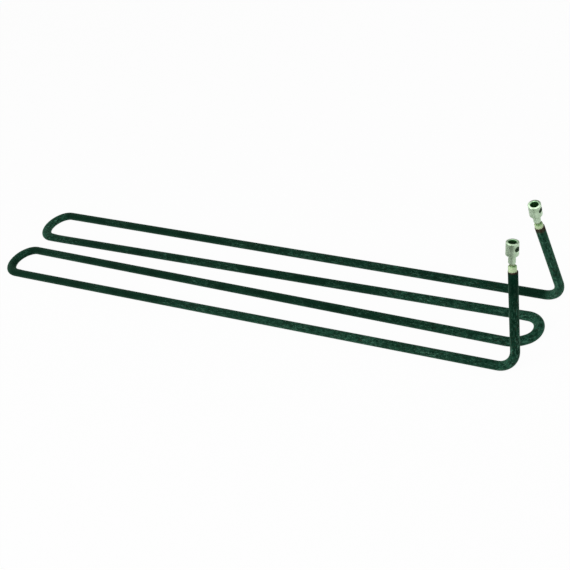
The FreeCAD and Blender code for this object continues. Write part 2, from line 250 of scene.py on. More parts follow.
class HeaterStage(bpy.types.PropertyGroup):
    azimuth: angle("Azimuth", "Camera direction from the front, towards the right", 49.506)
    elevation: angle("Elevation", "Camera height above the floor, as an angle", 35.331)
    roll: angle("Roll", "Turn of the camera about its own axis", -24.023)
    distance: length("Distance", "From the camera to the point it looks at", 1333.74 * MM)
    target_x: position("Target X", "Point looked at, along the runs from the middle bend", -265.44 * MM)
    target_y: position("Target Y", "Point looked at, to the rear of the middle bend", 2.67 * MM)
    lens: FloatProperty(name="Lens", description="Focal length in millimetres", default=85.17, min=1)
    floor_size: length("Floor size", "Side of the square floor", 12.0)
    paper_tone: share("Paper tone", "How light the paper is under its shadows", 0.9)
    floor_white: share("Floor white", "How much of the floor's look is plain white paper", 0.965)
    floor_bounce: share("Floor bounce", "How strongly the paper lights from below", 0.7)
    paper_heading: angle("Paper heading", "Way in which the paper's reflection dims, from +X", -100)
    paper_end: position("Paper end", "Where the paper's reflection begins to dim, that way", 20 * MM)
    paper_fade: length("Paper fade", "Width over which the paper's reflection dims", 230 * MM)
    paper_dim: share("Dim paper", "How light reflections of the paper are past it", 0.05)
    room_level: share("Room level", "How light reflections of the upper room are", 0.2)
    rear_wall: share("Rear wall", "How light reflections of the wall behind are", 0.35)
    soft_box: FloatProperty(name="Soft box", description="How bright the box overhead reflects",
                            default=2.0, min=0)
    sky_level: share("Sky level", "Soft light from all round", 0.15)
    left_level: power("Left lamp", "Power of the left soft box", 22)
    right_level: power("Right lamp", "Power of the right soft box", 6)
    top_level: power("Top lamp", "Power of the soft box above the camera", 12)


def sizes():
    return bpy.context.scene.heater_sizes


def of_side(side, name):
    """The size of this name for the front or for the rear."""
    return getattr(sizes(), ("rear_" if side == REAR else "front_") + name)


def finish():
    return bpy.context.scene.heater_finish


# Node helpers


def add_node(tree, kind, **settings):
    node = tree.nodes.new(kind)
    for name, value in settings.items():
        setattr(node, name, value)
    return node


def feed(tree, socket, value):
    """Links an output to the socket, or sets it to a plain value."""
    if isinstance(value, bpy.types.NodeSocket):
        tree.links.new(value, socket)
    elif socket.type == "RGBA" and len(value) == 3:
        socket.default_value = (*value, 1)
    else:
        socket.default_value = value


def calculate(tree, operation, *values):
    node = add_node(tree, "ShaderNodeMath", operation=operation)
    for socket, value in zip(node.inputs, values):
        feed(tree, socket, value)
    return node.outputs[0]


def times(tree, first, second):
    return calculate(tree, "MULTIPLY", first, second)


def plus(tree, first, second):
    return calculate(tree, "ADD", first, second)


def minus(tree, first, second):
    return calculate(tree, "SUBTRACT", first, second)


def larger(tree, first, second):
    return calculate(tree, "MAXIMUM", first, second)


def vector_math(tree, operation, *values):
    node = add_node(tree, "ShaderNodeVectorMath", operation=operation)
    for socket, value in zip(node.inputs, values):
        feed(tree, socket, value)
    return node.outputs


def stretch_vector(tree, vector, factors):
    return vector_math(tree, "MULTIPLY", vector, factors)["Vector"]


def along_heading(tree, vector, heading):
    """How far a vector reaches in a level direction, as an angle from +X."""
    return vector_math(tree, "DOT_PRODUCT", vector, level_way(heading))["Value"]


def split(tree, vector):
    """The X, Y and Z of a vector."""
    node = add_node(tree, "ShaderNodeSeparateXYZ")
    feed(tree, node.inputs[0], vector)
    return node.outputs


def between(tree, value, low, high, out_low=0.0, out_high=1.0):
    """Value stretched from low..high to out_low..out_high, and held there."""
    node = add_node(tree, "ShaderNodeMapRange", clamp=True)
    for socket, number in zip(node.inputs, (value, low, high, out_low, out_high)):
        feed(tree, socket, number)
    return node.outputs[0]


def mix_colours(tree, factor, first, second):
    node = add_node(tree, "ShaderNodeMix", data_type="RGBA")
    feed(tree, node.inputs[0], factor)
    feed(tree, node.inputs[6], first)
    feed(tree, node.inputs[7], second)
    return node.outputs[2]


def noise_value(tree, vector, scale, detail, roughness):
    node = add_node(tree, "ShaderNodeTexNoise")
    feed(tree, node.inputs["Vector"], vector)
    feed(tree, node.inputs["Scale"], scale)
    feed(tree, node.inputs["Detail"], detail)
    feed(tree, node.inputs["Roughness"], roughness)
    return node.outputs["Fac"]


def add_relief(tree, shader, height, depth):
    """Bumps as deep as this where the height is 1."""
    bump = add_node(tree, "ShaderNodeBump")
    bump.inputs["Distance"].default_value = depth
    feed(tree, bump.inputs["Height"], height)
    feed(tree, shader["Normal"], bump.outputs["Normal"])


def add_roughness(tree, shader, grain, smoothest, roughest):
    """Roughness that follows a grain."""
    feed(tree, shader["Roughness"], between(tree, grain, *GRAIN_BAND, smoothest, roughest))


def place_group(tree, kind, **values):
    """A shared shader group, with its inputs fed by name."""
    node = add_node(tree, "ShaderNodeGroup", node_tree=shared(kind))
    for name, value in values.items():
        feed(tree, node.inputs[name.capitalize()], value)
    return node.outputs


def new_group(name, inputs, outputs):
    """Empty shader group with (name, kind, default) inputs and named value outputs."""
    group = bpy.data.node_groups.new(name, "ShaderNodeTree")
    for label, kind, default in inputs:
        socket = group.interface.new_socket(label, in_out="INPUT", socket_type=kind)
        if default is not None:
            socket.default_value = default
    for label in outputs:
        group.interface.new_socket(label, in_out="OUTPUT", socket_type="NodeSocketFloat")
    start = group.nodes.new("NodeGroupInput")
    end = group.nodes.new("NodeGroupOutput")
    return group, start.outputs, end.inputs


# Effects that several materials share


def clouds_group():
    """Soft clouds of dulling, and a finer grain of its own."""
    group, start, end = new_group("clouds", [
        ("Place", "NodeSocketVector", None),
        ("Scale", "NodeSocketFloat", 100.0),
        ("Low", "NodeSocketFloat", 0.4),
        ("High", "NodeSocketFloat", 0.65),
    ], ["Mask", "Grain"])
    coarse = noise_value(group, start["Place"], start["Scale"], detail=4.0, roughness=0.6)
    feed(group, end["Mask"], between(group, coarse, start["Low"], start["High"]))
    fine_scale = times(group, start["Scale"], FINER)
    fine = noise_value(group, start["Place"], fine_scale, detail=5.0, roughness=0.7)
    feed(group, end["Grain"], fine)
    return group


def specks_group():
    """Small sparse specks."""
    group, start, end = new_group("specks", [
        ("Place", "NodeSocketVector", None),
        ("Scale", "NodeSocketFloat", 600.0),
        ("Cover", "NodeSocketFloat", 0.1),
    ], ["Mask"])
    raw = noise_value(group, start["Place"], start["Scale"], detail=2.0, roughness=0.6)
    edge = minus(group, SPECK_LEVEL, start["Cover"])
    feed(group, end["Mask"], between(group, minus(group, raw, edge), 0.0, SPECK_FADE))
    return group


def streaks_group():
    """Marks drawn out along the third axis of the place, as on a drawn tube."""
    group, start, end = new_group("streaks", [
        ("Place", "NodeSocketVector", None),
        ("Scale", "NodeSocketFloat", 500.0),
        ("Cover", "NodeSocketFloat", 0.2),
    ], ["Mask"])
    drawn = stretch_vector(group, start["Place"], (1.0, 1.0, 0.06))
    raw = noise_value(group, drawn, start["Scale"], detail=3.0, roughness=0.6)
    edge = minus(group, STREAK_LEVEL, start["Cover"])
    feed(group, end["Mask"], between(group, minus(group, raw, edge), 0.0, STREAK_FADE))
    return group


def rings_group():
    """Turning marks round the third axis of the place."""
    group, start, end = new_group("turning rings", [
        ("Place", "NodeSocketVector", None),
        ("Pitch", "NodeSocketFloat", 0.3 * MM),
        ("Uneven", "NodeSocketFloat", 0.5),
    ], ["Height"])
    turns = calculate(group, "DIVIDE", split(group, start["Place"])["Z"], start["Pitch"])
    wave = calculate(group, "SINE", times(group, turns, math.tau))
    flat = stretch_vector(group, start["Place"], (0.05, 0.05, 1.0))
    rough = noise_value(group, flat, scale=2500.0, detail=2.0, roughness=0.6)
    swing = times(group, rough, start["Uneven"])
    feed(group, end["Height"], plus(group, times(group, wave, RING_SWING), swing))
    return group


GROUPS = {}


def shared(kind):
    """The shader group of this kind, built once."""
    makers = {"clouds": clouds_group, "specks": specks_group,
              "streaks": streaks_group, "rings": rings_group}
    if kind not in GROUPS:
        GROUPS[kind] = makers[kind]()
    return GROUPS[kind]


def new_material(name):
    material = bpy.data.materials.new(name)
    material.use_nodes = True
    shader = material.node_tree.nodes["Principled BSDF"]
    return material, material.node_tree, shader.inputs


def piece_place(tree, base=None, turn=None):
    """Coordinates of the piece, or those of an axis on it: base is its foot and turn its matrix."""
    place = add_node(tree, "ShaderNodeTexCoord").outputs["Object"]
    if base is None:
        return place
    node = add_node(tree, "ShaderNodeMapping", vector_type="POINT")
    inverse = turn.inverted()
    node.inputs["Location"].default_value = -(inverse @ base)
    node.inputs["Rotation"].default_value = inverse.to_euler("XYZ")
    feed(tree, node.inputs["Vector"], place)
    return node.outputs[0]


def point_value(tree, name):
    """What the mesh keeps under this name at each point."""
    return add_node(tree, "ShaderNodeAttribute", attribute_name=name).outputs["Vector"]


# Materials


def sheath_material():
    """Dark green annealed oxide: mottled along the tube, paler in places, burnt at the ends, with a
    painted highlight where it turns away.
    """
    look = finish()
    material, tree, shader = new_material("sheath_oxide")
    place = point_value(tree, "tube_place")
    zones = split(tree, point_value(tree, "tube_zone"))
    pale, from_scorch = zones["X"], zones["Y"]
    drawn = stretch_vector(tree, place, (1.0, 1.0, 0.5))
    drawn_little = stretch_vector(tree, place, (1.0, 1.0, 0.6))
    squashed = stretch_vector(tree, place, (1.0, 1.0, 4.0))
    clouds = place_group(tree, "clouds", place=drawn, scale=130.0, low=0.38, high=0.66)
    patches = place_group(tree, "clouds", place=drawn, scale=26.0, low=0.42, high=0.62)
    mottle = place_group(tree, "clouds", place=drawn, scale=430.0, low=0.52, high=0.62)
    blotches = place_group(tree, "clouds", place=place, scale=240.0, low=0.45, high=0.6)
    streaks = place_group(tree, "streaks", place=place, scale=800.0, cover=0.22)
    dashes = place_group(tree, "streaks", place=squashed, scale=850.0, cover=0.22)
    specks = place_group(tree, "specks", place=place, scale=800.0, cover=0.12)
    rust = place_group(tree, "specks", place=drawn_little, scale=520.0, cover=0.14)

    base = mix_colours(tree, clouds["Mask"], look.oxide_dark, look.oxide_light)
    paler = times(tree, pale, between(tree, blotches["Mask"], 0, 1, 0.2, 1.5))
    base = mix_colours(tree, between(tree, paler, 0, 1), base, look.oxide_pale)
    patchy = between(tree, patches["Mask"], 0, 1, 0.05, 0.75)
    worn = between(tree, plus(tree, patchy, pale), 0, 1)
    for marks, strength, tone in (
        (mottle, 0.7, look.oxide_pale),
        (rust, 0.6, look.oxide_rust),
        (streaks, 0.5, look.oxide_pale),
        (dashes, 0.8, look.oxide_worn),
        (specks, 0.55, look.oxide_worn),
    ):
        amount = times(tree, times(tree, marks["Mask"], worn), strength)
        base = mix_colours(tree, amount, base, tone)
    # Painted highlight: a pale rim laid on where the surface turns away from the view.
    facing = add_node(tree, "ShaderNodeLayerWeight").outputs["Facing"]
    sheen = times(tree, calculate(tree, "POWER", facing, 3.0), look.sheen)
    base = mix_colours(tree, sheen, base, look.painted_rim_highlight)
    ragged = plus(tree, from_scorch, minus(tree, clouds["Grain"], 0.5))
    burnt = between(tree, ragged, 0.4, 1.1, look.scorch, 0)
    feed(tree, shader["Base Color"], mix_colours(tree, burnt, base, look.oxide_burnt))
    add_roughness(tree, shader, clouds["Grain"], 0.5, 0.65)
    shader["Specular IOR Level"].default_value = 0.02
    add_relief(tree, shader, clouds["Grain"], 0.06 * MM)
    return material


def plating_material(name, base, turn):
    """Satin plating over turned metal, dulled in clouds, with a dark bore whose colour also lies on the
    bore's edge as painted shade, and a crowned rim.
    """
    look = finish()
    s = sizes()
    material, tree, shader = new_material(name)
    place = piece_place(tree, base, turn)
    clouds = place_group(tree, "clouds", place=place, scale=260.0, low=0.42, high=0.62)
    rings = place_group(tree, "rings", place=place, pitch=0.28 * MM, uneven=0.8)
    specks = place_group(tree, "specks", place=place, scale=1600.0, cover=0.12)
    dulling = larger(tree, times(tree, clouds["Mask"], 0.5), times(tree, specks["Mask"], 0.4))
    plated = mix_colours(tree, dulling, look.plating, look.plating_dull)
    from_axis = vector_math(tree, "LENGTH", stretch_vector(tree, place, (1.0, 1.0, 0.0)))["Value"]
    height = split(tree, place)["Z"]
    bore = s.wire_bore / 2
    # Dark green inside the bore, reaching out over the bore's edge as painted shade that hides its
    # highlight.
    inside = times(tree, between(tree, from_axis, bore + 0.2 * MM, bore + 0.4 * MM, 1, 0),
                   between(tree, height, s.bore_bottom - 0.05 * MM, s.bore_bottom))
    feed(tree, shader["Base Color"], mix_colours(tree, inside, plated, look.bore_dark_and_shade))
    shader["Metallic"].default_value = 0.75
    add_roughness(tree, shader, clouds["Grain"], 0.22, 0.4)
    crown = times(tree, between(tree, from_axis, bore, s.barrel / 2, s.rim_rise, 0),
                  between(tree, height, -s.rim_fade, 0))
    add_relief(tree, shader, plus(tree, crown, times(tree, rings["Height"], 0.02 * MM)), 1.0)
    return material


def pin_material(name, base, turn):
    """Drawn pin steel, tinted by the heat of brazing."""
    look = finish()
    material, tree, shader = new_material(name)
    place = piece_place(tree, base, turn)
    streaks = place_group(tree, "streaks", place=place, scale=2200.0, cover=0.3)
    clouds = place_group(tree, "clouds", place=place, scale=500.0, low=0.4, high=0.6)
    tinted = mix_colours(tree, times(tree, clouds["Mask"], 0.25), look.pin_steel, look.compound)
    drawn = mix_colours(tree, times(tree, streaks["Mask"], 0.4), tinted, look.plating)
    feed(tree, shader["Base Color"], drawn)
    shader["Metallic"].default_value = 0.9
    add_roughness(tree, shader, clouds["Grain"], 0.35, 0.55)
    add_relief(tree, shader, streaks["Mask"], 0.01 * MM)
    return material


def ceramic_material(name, top, turn):
    """Unglazed cream ceramic with open pores and a little grime, with a painted shadow on one side of
    its top face.
    """
    look = finish()
    material, tree, shader = new_material(name)
    place = piece_place(tree, top, turn)
    clouds = place_group(tree, "clouds", place=place, scale=320.0, low=0.45, high=0.7)
    pores = place_group(tree, "specks", place=place, scale=2600.0, cover=0.1)
    stain = larger(tree, times(tree, clouds["Mask"], 0.5), pores["Mask"])
    body = mix_colours(tree, times(tree, stain, 0.7), look.ceramic, look.ceramic_stain)
    # Painted shadow: the top face turns darker green on the side away from the light, standing in for
    # the socket's shade.
    ragged = plus(tree, split(tree, place)["Z"], times(tree, clouds["Grain"], 0.6 * MM))
    on_top = between(tree, ragged, -0.4 * MM, 0.2 * MM)
    on_side = between(tree, along_heading(tree, place, look.painted_shadow_heading), -2.6 * MM, -0.8 * MM)
    darkened = times(tree, on_top, on_side)
    feed(tree, shader["Base Color"], mix_colours(tree, darkened, body, look.ceramic_painted_shadow))
    add_roughness(tree, shader, clouds["Grain"], 0.55, 0.75)
    shader["Specular IOR Level"].default_value = 0.4
    add_relief(tree, shader, minus(tree, clouds["Grain"], pores["Mask"]), 0.04 * MM)
    return material


def compound_material():
    """Cured sealing compound: brown, faintly glossy, uneven."""
    look = finish()
    material, tree, shader = new_material("seal_compound")
    clouds = place_group(tree, "clouds", place=piece_place(tree), scale=700.0, low=0.35, high=0.65)
    dark = [channel * 0.4 for channel in look.compound]
    feed(tree, shader["Base Color"], mix_colours(tree, clouds["Mask"], dark, look.compound))
    add_roughness(tree, shader, clouds["Grain"], 0.35, 0.6)
    add_relief(tree, shader, clouds["Grain"], 0.08 * MM)
    return material


def screw_material(name, base, turn):
    """Black oxide steel with a little bright wear."""
    look = finish()
    material, tree, shader = new_material(name)
    place = piece_place(tree, base, turn)
    clouds = place_group(tree, "clouds", place=place, scale=900.0, low=0.5, high=0.75)
    worn = mix_colours(tree, times(tree, clouds["Mask"], 0.4), look.screw_black, look.plating_dull)
    feed(tree, shader["Base Color"], worn)
    shader["Metallic"].default_value = 0.3
    shader["Specular IOR Level"].default_value = 0.2
    add_roughness(tree, shader, clouds["Grain"], 0.45, 0.6)
    add_relief(tree, shader, clouds["Grain"], 0.02 * MM)
    return material


def powder_material():
    """Pressed white powder, chalky."""
    look = finish()
    material, tree, shader = new_material("pressed_powder")
    clouds = place_group(tree, "clouds", place=piece_place(tree), scale=900.0, low=0.3, high=0.7)
    feed(tree, shader["Base Color"], mix_colours(tree, clouds["Mask"], look.powder_shade, look.powder))
    shader["Roughness"].default_value = 0.95
    add_relief(tree, shader, clouds["Grain"], 0.1 * MM)
    return material


def coil_material():
    """Wound resistance wire, seen as close bright turns with painted shade in the gaps between them."""
    look = finish()
    material, tree, shader = new_material("resistance_wire")
    rings = place_group(tree, "rings", place=piece_place(tree), pitch=1.2 * MM, uneven=0.2)
    # Painted shade in the gaps between the turns.
    turns = between(tree, rings["Height"], -0.1, 0.4)
    feed(tree, shader["Base Color"], mix_colours(tree, turns, look.wire_gap_painted_shade, look.wire))
    shader["Metallic"].default_value = 0.9
    shader["Roughness"].default_value = 0.4
    return material


# Centre line of the tube


def level_way(heading):
    """Level unit vector at an angle from +X."""
    return Vector((math.cos(heading), math.sin(heading), 0))


def leg_way(side):
    """Unit vector up the leg of a side."""
    inward = -side * math.tan(of_side(side, "lean_in"))
    return Vector((math.tan(of_side(side, "lean_out")), inward, 1)).normalized()


def half_points(side):
    """Corner points and directions of one half of the centre line, from the middle bend to the leg."""
    s = sizes()
    toe = s.run_toe
    height = s.tube_diameter / 2
    meet = Vector((-s.middle_bend * math.sin(toe), side * s.middle_bend * math.cos(toe), height))
    inner_end = meet - Vector((math.cos(toe), side * math.sin(toe), 0)) * s.inner_run
    left_centre = inner_end + Vector((-math.sin(toe), side * math.cos(toe), 0)) * s.left_bend
    outer_end = left_centre + Vector((math.sin(toe), side * math.cos(toe), 0)) * s.left_bend
    outer_way = Vector((math.cos(toe), -side * math.sin(toe), 0))
    foot = outer_end + outer_way * s.outer_run
    way = leg_way(side)
    inward = (way - outer_way * outer_way.dot(way)).normalized()
    return {
        "meet": meet, "inner_end": inner_end, "left_centre": left_centre, "outer_end": outer_end,
        "foot": foot, "leg_centre": foot + inward * s.leg_bend, "outer_way": outer_way,
        "leg_turn": outer_way.angle(way), "leg_reach": way * of_side(side, "leg"),
    }


def straight_stretch(start, end):
    """Points from start to end, without the start."""
    count = max(1, round((end - start).length / sizes().run_step))
    return [start.lerp(end, step / count) for step in range(1, count + 1)]


def bend_stretch(start, centre, way, turn):
    """Points round a bend that begins at start in direction way, without the start."""
    axis = (start - centre).cross(way).normalized()
    count = max(2, math.ceil(turn / sizes().bend_step))
    arm = start - centre
    return [centre + Matrix.Rotation(turn * step / count, 3, axis) @ arm for step in range(1, count + 1)]


def middle_stretch(rear, front):
    """Points of the middle bend: an even rear half, then a tighter and a wider turn."""
    s = sizes()
    centre = Vector((0, 0, s.tube_diameter / 2))
    rear_way = (rear["meet"] - rear["inner_end"]).normalized()
    even = bend_stretch(rear["meet"], centre, rear_way, RIGHT_ANGLE + s.run_toe)
    top = even[-1]
    tight = bend_stretch(top, top - ACROSS * s.tight_bend, TO_FRONT, s.tight_turn)
    end = tight[-1]
    way = Matrix.Rotation(-s.tight_turn, 3, UP) @ TO_FRONT
    run_way = (front["inner_end"] - front["meet"]).normalized()
    reach = (front["meet"] - end).cross(run_way).z / way.cross(run_way).z
    open_turn = RIGHT_ANGLE + s.run_toe - s.tight_turn
    to_centre = Matrix.Rotation(-RIGHT_ANGLE, 3, UP) @ way
    open_centre = end + to_centre * (reach / math.tan(open_turn / 2))
    return even + tight + bend_stretch(end, open_centre, way, open_turn)


def leg_stretches(half):
    """Points of the leg bend and of the straight leg of one side, walked up from the foot."""
    bend = bend_stretch(half["foot"], half["leg_centre"], half["outer_way"], half["leg_turn"])
    return bend, straight_stretch(bend[-1], bend[-1] + half["leg_reach"])


def curve_through(values, at):
    """Value of the smooth curve through three values, at a place from 0 to 1 along them."""
    first, half_way, last = values
    return (first * (2 * at - 1) * (at - 1)
            + half_way * 4 * at * (1 - at)
            + last * at * (2 * at - 1))


def centre_line():
    """Spots of the whole centre line, from the rear mouth to the front one."""
    rear = half_points(REAR)
    front = half_points(FRONT)
    around = math.pi + 2 * sizes().run_toe
    rear_bend, rear_leg = leg_stretches(rear)
    front_bend, front_leg = leg_stretches(front)
    middle = middle_stretch(rear, front)
    to_left = (front["inner_end"] - front["meet"]).normalized()
    stretches = [
        rear_leg[::-1],
        rear_bend[::-1] + [rear["foot"]],
        straight_stretch(rear["foot"], rear["outer_end"]),
        bend_stretch(rear["outer_end"], rear["left_centre"], -rear["outer_way"], around),
        straight_stretch(rear["inner_end"], rear["meet"]),
        middle,
        straight_stretch(middle[-1], front["inner_end"]),
        bend_stretch(front["inner_end"], front["left_centre"], to_left, around),
        straight_stretch(front["outer_end"], front["foot"]),
        front_bend,
        front_leg,
    ]
    line = []
    for points, (paleness, pressing) in zip(stretches, STRETCH_LOOKS):
        for step, point in enumerate(points):
            at = (step + 0.5) / len(points)
            line.append(Spot(point, curve_through(paleness, at), curve_through(pressing, at)))
    return line


def row_shift(line):
    """Move from the middle bend's centre to the CAD frame's origin."""
    low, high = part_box("sheath_tube")
    left = min(spot.point.x for spot in line) - sizes().tube_diameter / 2
    return Vector((low.x - left, (low.y + high.y) / 2, 0))


def placed_line():
    """The centre line in the CAD frame."""
    line = centre_line()
    shift = row_shift(line)
    return [spot._replace(point=spot.point + shift) for spot in line]


def tube_rings(line):
    """A ring of the tube at each spot of the line, with a side vector that doesn't twist."""
    rings = []
    aside = UP.cross(line[1].point - line[0].point).normalized()
    travelled = 0.0
    for index, spot in enumerate(line):
        before = line[max(index - 1, 0)].point
        after = line[min(index + 1, len(line) - 1)].point
        way = (after - before).normalized()
        aside = (aside - way * aside.dot(way)).normalized()
        travelled += (spot.point - before).length
        rings.append(Ring(spot.point, way, aside.copy(), travelled))
    return rings


def ring_pressings(line, rings):
    """How far each ring is pressed: as its bend is, and less along the run past the bend."""
    bent = [(ring.travelled, spot.pressed) for ring, spot in zip(rings, line) if spot.pressed]
    pressings = []
    for ring in rings:
        at, pressed = min(bent, key=lambda bend: abs(bend[0] - ring.travelled))
        rest = max(1 - abs(at - ring.travelled) / sizes().press_run, 0)
        pressings.append(pressed * rest * rest * (3 - 2 * rest))
    return pressings


def press(offset, way, pressed):
    """A point's offset from the centre line, once the tube is pressed wider in the plane of its runs."""
    s = sizes()
    left = UP.cross(way)
    inward = 1 if pressed > 0 else 2 * s.middle_inward - 1
    shift = pressed * inward * s.tube_diameter / 2
    return (offset + left * (offset.dot(left) * abs(pressed) + shift)
            - UP * (offset.z * abs(pressed) * s.press_drop))


def wall_rows(last):
    """The tube's wall as rows of (ring, radius, move along it), over its outside and back inside."""
    s = sizes()
    outer = s.tube_diameter / 2
    rows = [(0, outer - s.lip, 0.0), (0, outer, s.lip)]
    rows += [(index, outer, 0.0) for index in range(1, last)]
    rows += [(last, outer, -s.lip), (last, outer - s.lip, 0.0)]
    return rows + [(index, outer - s.tube_wall, 0.0) for index in range(last, -1, -1)]


def closed_mesh(name, vertices, around):
    """Smooth mesh of rows of points, closed along each row and from the last row to the first."""
    rows = len(vertices) // around
    faces = []
    for row in range(rows):
        following = (row + 1) % rows
        for step in range(around):
            beside = (step + 1) % around
            faces.append((row * around + step, row * around + beside,
                          following * around + beside, following * around + step))
    mesh = bpy.data.meshes.new(name)
    mesh.from_pydata(vertices, [], faces)
    mesh.validate()
    mesh.shade_smooth()
    return mesh


def tube_mesh(name, line):
    """Hollow tube along the line, open at both mouths, with what its oxide needs at each point."""
    s = sizes()
    rings = tube_rings(line)
    pressings = ring_pressings(line, rings)
    total = rings[-1].travelled
    vertices, places, zones = [], [], []
    for index, radius, along in wall_rows(len(rings) - 1):
        ring = rings[index]
        other = ring.way.cross(ring.aside)
        from_scorch = min(ring.travelled / s.rear_scorch, (total - ring.travelled) / s.front_scorch)
        for step in range(s.around):
            turn = math.tau * step / s.around
            across = ring.aside * math.cos(turn) + other * math.sin(turn)
            offset = press(across * radius, ring.way, pressings[index])
            vertices.append(ring.centre + ring.way * along + offset)
            places.append((radius * math.cos(turn), radius * math.sin(turn), ring.travelled))
            zones.append((line[index].pale, from_scorch, 0.0))
    mesh = closed_mesh(name, vertices, s.around)
    for label, values in (("tube_place", places), ("tube_zone", zones)):
        attribute = mesh.attributes.new(label, "FLOAT_VECTOR", "POINT")
        attribute.data.foreach_set("vector", [number for value in values for number in value])
    return mesh


def bead_aside(side):
    """Move from the leg's axis to its bead's axis."""
    level = level_way(of_side(side, "shift_heading"))
    way = leg_way(side)
    return (level - way * way.dot(level)).normalized() * sizes().bead_shift


def squeeze_outline(now, side):
    """Outline of the squeezed compound at one place round a bead, as (out, up) from its foot."""
    swell = SQUEEZE_MEAN
    for waves, lag, height in SQUEEZE_WAVES:
        swell += height * math.sin(waves * now + lag * side)
    wide = (0.12 + 0.3 * swell) * MM
    tall = (0.08 + 0.3 * swell) * MM
    inside, below = -0.15 * MM, -0.2 * MM
    return [(inside, below), (0.04 * MM, below), (wide, 0.01 * MM), (0.85 * wide, 0.45 * tall),
            (0.4 * wide, 0.85 * tall), (0, tall), (inside, tall)]


def squeeze_mesh(name, base, turn, side):
    """Uneven low ring of compound squeezed out round a bead's foot."""
    foot = sizes().collar / 2
    turns = [math.tau * step / SQUEEZE_POINTS for step in range(SQUEEZE_POINTS)]
    rows = zip(*[squeeze_outline(now, side) for now in turns])
    vertices = []
    for row in rows:
        for now, (out, height) in zip(turns, row):
            spoke = level_way(now) * (foot + out) + UP * height
            vertices.append(base + turn @ spoke)
    return closed_mesh(name, vertices, SQUEEZE_POINTS)


def add_piece(name, mesh, material):
    """New piece on the element's one body."""
    piece = bpy.data.objects.new(name, mesh)
    bpy.context.scene.collection.objects.link(piece)
    mesh.materials.append(material)
    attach(piece, BODY)
    return piece


def dress(node, material):
    """Gives a CAD node its material."""
    piece = frame["nodes"][node]
    if not piece.material_slots:
        piece.data.materials.append(material)
    for slot in piece.material_slots:
        slot.material = material


def axis_turn(axis):
    """Matrix with its third column on the axis and its first as near +X as it can be."""
    across = (ACROSS - axis * ACROSS.dot(axis)).normalized()
    return Matrix((across, axis.cross(across), axis)).transposed()


def socket_axis(name):
    """A point on a socket's axis, and its turn, from the record's mount."""
    for mount in frame["record"]["mounts"]:
        if mount["name"] == name + "_wire_socket":
            return Vector(mount["pos_m"]), axis_turn(Vector(mount["axis"]).normalized())
    raise RuntimeError("the record has no mount for the " + name + " socket")


def mouth_axis(side):
    """The middle of a leg's mouth, and the turn of the leg's axis."""
    line = placed_line()
    return line[0 if side == REAR else -1].point, axis_turn(leg_way(side))


# Operators


class HEATER_OT_sheath(bpy.types.Operator):
    """Sweeps the bent sheath tube and gives it its oxide"""

    bl_idname = "heater.sheath"
    bl_label = "Sheath tube"

    def execute(self, context):
        mesh = tube_mesh("bent_sheath", placed_line())
        sheath = add_piece("bent_sheath", mesh, sheath_material())
        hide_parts("sheath_tube")
        return {"FINISHED"}


class HEATER_OT_sockets(bpy.types.Operator):
    """Plates the sockets and blackens their clamp screws"""

    bl_idname = "heater.sockets"
    bl_label = "Sockets and screws"

    def execute(self, context):
        for name, _side in SIDES:
            base, turn = socket_axis(name)
            dress(name + "_connector_socket", plating_material(name + "_plating", base, turn))
            across = axis_turn(turn.col[0].normalized())
            dress(name + "_set_screw", screw_material(name + "_screw_oxide", base, across))
        return {"FINISHED"}


class HEATER_OT_terminals(bpy.types.Operator):
    """Finishes the pins, beads and seals at both mouths"""

    bl_idname = "heater.terminals"
    bl_label = "Pins, beads and seals"

    def execute(self, context):
        compound = compound_material()
        for name, side in SIDES:
            base, turn = mouth_axis(side)
            dress(name + "_terminal_pin", pin_material(name + "_pin_steel", base, turn))
            foot = base + bead_aside(side)
            top = foot + leg_way(side) * of_side(side, "bead_proud")
            dress(name + "_insulator_bead", ceramic_material(name + "_bead_ceramic", top, turn))
            dress(name + "_end_seal", compound)
            mesh = squeeze_mesh(name + "_squeezed_seal", foot, turn, side)
            add_piece(name + "_squeezed_seal", mesh, compound)
        return {"FINISHED"}


class HEATER_OT_filling(bpy.types.Operator):
    """Gives the powder and the coil inside the tube their materials"""

    bl_idname = "heater.filling"
    bl_label = "Filling and coil"

    def execute(self, context):
        dress("magnesia_filling", powder_material())
        dress("resistance_coil", coil_material())
        return {"FINISHED"}


def ray_kinds(tree):
    """Values that are 1 for what the camera sees itself, and for what it sees in gloss or glass."""
    path = add_node(tree, "ShaderNodeLightPath").outputs
    return path["Is Camera Ray"], larger(tree, path["Is Glossy Ray"], path["Is Transmission Ray"])


def mix_shaders(tree, factor, first, second):
    mix = add_node(tree, "ShaderNodeMixShader")
    feed(tree, mix.inputs[0], factor)
    tree.links.new(first, mix.inputs[1])
    tree.links.new(second, mix.inputs[2])
    return mix.outputs[0]


def glow(tree, kind, strength):
    """White emission or background of a strength."""
    node = add_node(tree, kind)
    node.inputs["Color"].default_value = (1, 1, 1, 1)
    feed(tree, node.inputs["Strength"], strength)
    return node.outputs[0]


def floor_material(stage):
    """Pale paper that keeps a soft shadow. Reflections of it dim towards the front."""
    material = bpy.data.materials.new("studio_paper")
    material.use_nodes = True
    tree = material.node_tree
    tree.nodes.clear()
    paper = add_node(tree, "ShaderNodeBsdfDiffuse")
    paper.inputs["Color"].default_value = (*[stage.paper_tone] * 3, 1)
    direct, mirrored = ray_kinds(tree)
    lighting = add_node(tree, "ShaderNodeLightPath").outputs["Is Diffuse Ray"]
    reflected = between(tree, along_heading(tree, piece_place(tree), stage.paper_heading),
                        stage.paper_end, stage.paper_end + stage.paper_fade, 1.0, stage.paper_dim)
    seen = mix_shaders(tree, times(tree, direct, stage.floor_white), paper.outputs[0],
                       glow(tree, "ShaderNodeEmission", 1.0))
    seen = mix_shaders(tree, mirrored, seen, glow(tree, "ShaderNodeEmission", reflected))
    seen = mix_shaders(tree, lighting, seen, glow(tree, "ShaderNodeEmission", stage.floor_bounce))
    tree.links.new(seen, add_node(tree, "ShaderNodeOutputMaterial").inputs[0])
    return material


